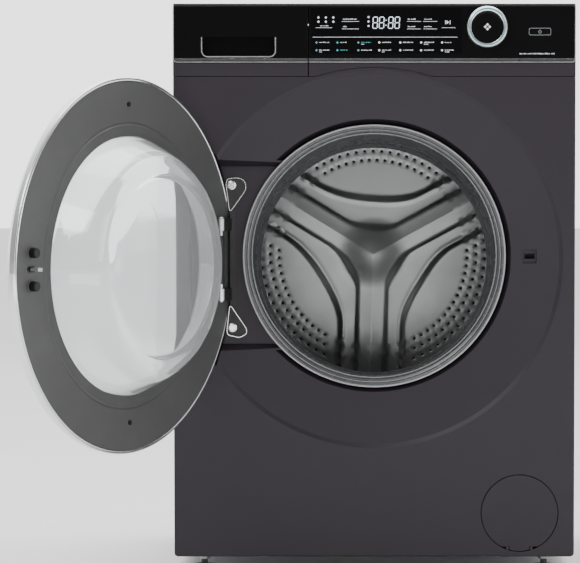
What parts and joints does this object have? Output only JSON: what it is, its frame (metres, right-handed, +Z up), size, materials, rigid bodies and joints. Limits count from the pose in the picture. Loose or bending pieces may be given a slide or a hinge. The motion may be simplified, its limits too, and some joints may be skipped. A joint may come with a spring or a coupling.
{
  "type": "front load washing machine",
  "caption": "Freestanding front load washing machine with a round side-hinged glass door, steel drum, dispenser drawer and control panel.",
  "frame": {"origin": "on the floor, midway between the four levelling feet", "axes": "+X to the right seen from the front, +Y from the front to the back, +Z up"},
  "size_m": [0.797, 0.9088, 0.85],
  "materials": {
    "panel_grey": "satin dark warm grey paint",
    "zinc_steel": "zinc-plated sheet steel",
    "screw_steel": "plated steel",
    "worktop_board": "dark grey laminate",
    "console_black": "gloss black",
    "display_glass": "gloss black window",
    "silver_trim": "silver plated plastic",
    "circuit_board": "green solder mask",
    "white_plastic": "white moulded",
    "dark_plastic": "dark moulded",
    "gasket_rubber": "grey moulded rubber",
    "black_rubber": "black rubber",
    "tub_plastic": "pale grey filled polypropylene",
    "cast_weight": "as cast",
    "motor_steel": "laminated steel and copper",
    "drum_steel": "bright pressed stainless steel",
    "cast_aluminium": "as cast",
    "ring_grey": "fine textured dark grey",
    "hinge_black": "black coated steel",
    "window_clear": "clear smoked",
    "bowl_clear": "clear pressed glass"
  },
  "bodies": {
    "cabinet": {"left_side": "panel_grey", "right_side": "panel_grey", "base_tray": "zinc_steel", "rear_panel": "zinc_steel", "rear_cover": "zinc_steel", "rear_screws": "screw_steel", "transit_caps": "dark_plastic", "worktop": "worktop_board", "front_panel": "panel_grey", "control_panel": "console_black", "display_window": "display_glass", "console_trim": "silver_trim", "console_strip": "panel_grey", "display_board": "circuit_board", "dispenser_housing": "white_plastic", "inlet_valve": "white_plastic", "water_hoses": "black_rubber", "drain_outlet": "dark_plastic", "cord_gland": "dark_plastic", "door_gasket": "gasket_rubber", "tub_front_half": "tub_plastic", "tub_rear_half": "tub_plastic", "drum_bearings": "motor_steel", "counterweights": "cast_weight", "heater": "zinc_steel", "suspension_springs": "zinc_steel", "dampers": "dark_plastic", "motor_stator": "motor_steel", "filter_bezel": "white_plastic", "filter_housing": "white_plastic", "drain_pump": "dark_plastic", "door_lock": "dark_plastic", "hinge_bracket": "zinc_steel", "hinge_pin": "zinc_steel", "hinge_screws": "screw_steel", "levelling_feet": "dark_plastic", "foot_nuts": "zinc_steel"},
    "dial": {"dial": "silver_trim"},
    "power_button": {"power_button": "console_black"},
    "drawer": {"drawer_front": "console_black", "drawer_trim": "silver_trim", "drawer_strip": "panel_grey", "drawer_tray": "white_plastic"},
    "drum": {"motor_rotor": "motor_steel", "drum_front_ring": "drum_steel", "drum_shell": "drum_steel", "drum_back": "drum_steel", "drum_lifters": "drum_steel", "drum_spider": "cast_aluminium"},
    "filter_flap": {"filter_flap": "panel_grey"},
    "filter_cap": {"filter_cap": "white_plastic"},
    "pump_impeller": {"pump_impeller": "white_plastic"},
    "door": {"door_inner_ring": "ring_grey", "door_rim": "silver_trim", "door_window": "window_clear", "door_glass": "bowl_clear", "door_arm": "hinge_black", "door_bumpers": "black_rubber", "door_screws": "screw_steel"},
    "latch_hook": {"latch_hook": "zinc_steel"}
  },
  "joints": [
    {"name": "door_hinge", "type": "hinge", "parent": "cabinet", "child": "door", "pos_m": [-0.227, -0.23, 0.4715], "axis": [0, 0, 1], "range_deg": [0, 121.4]},
    {"name": "hook_pivot", "type": "hinge", "parent": "door", "child": "latch_hook", "pos_m": [-0.47646, -0.61373, 0.4765], "axis": [0, 0, -1], "range_deg": [0, 8], "stiffness_Nm_per_rad": 0.03, "springref_deg": -5.73},
    {"name": "drum_spin", "type": "hinge", "parent": "cabinet", "child": "drum", "pos_m": [0, 0.004, 0.4645], "axis": [0, 1, 0], "continuous": true},
    {"name": "drawer_slide", "type": "slide", "parent": "cabinet", "child": "drawer", "axis": [0, -1, 0], "range_m": [0, 0.16]},
    {"name": "dial_turn", "type": "hinge", "parent": "cabinet", "child": "dial", "pos_m": [0.1665, -0.23, 0.8154], "axis": [0, -1, 0], "continuous": true},
    {"name": "power_press", "type": "slide", "parent": "cabinet", "child": "power_button", "axis": [0, 1, 0], "range_m": [0, 0.0015], "stiffness_N_per_m": 800, "springref_m": -0.0008},
    {"name": "flap_hinge", "type": "hinge", "parent": "cabinet", "child": "filter_flap", "pos_m": [0.2162, -0.2274, 0.0412], "axis": [1, 0, 0], "range_deg": [0, 80]},
    {"name": "filter_turn", "type": "hinge", "parent": "cabinet", "child": "filter_cap", "pos_m": [0.2162, -0.204, 0.0943], "axis": [0, -1, 0], "range_deg": [0, 90]},
    {"name": "impeller_spin", "type": "hinge", "parent": "cabinet", "child": "pump_impeller", "pos_m": [0.2162, -0.11, 0.0943], "axis": [0, 1, 0], "continuous": true}
  ]
}
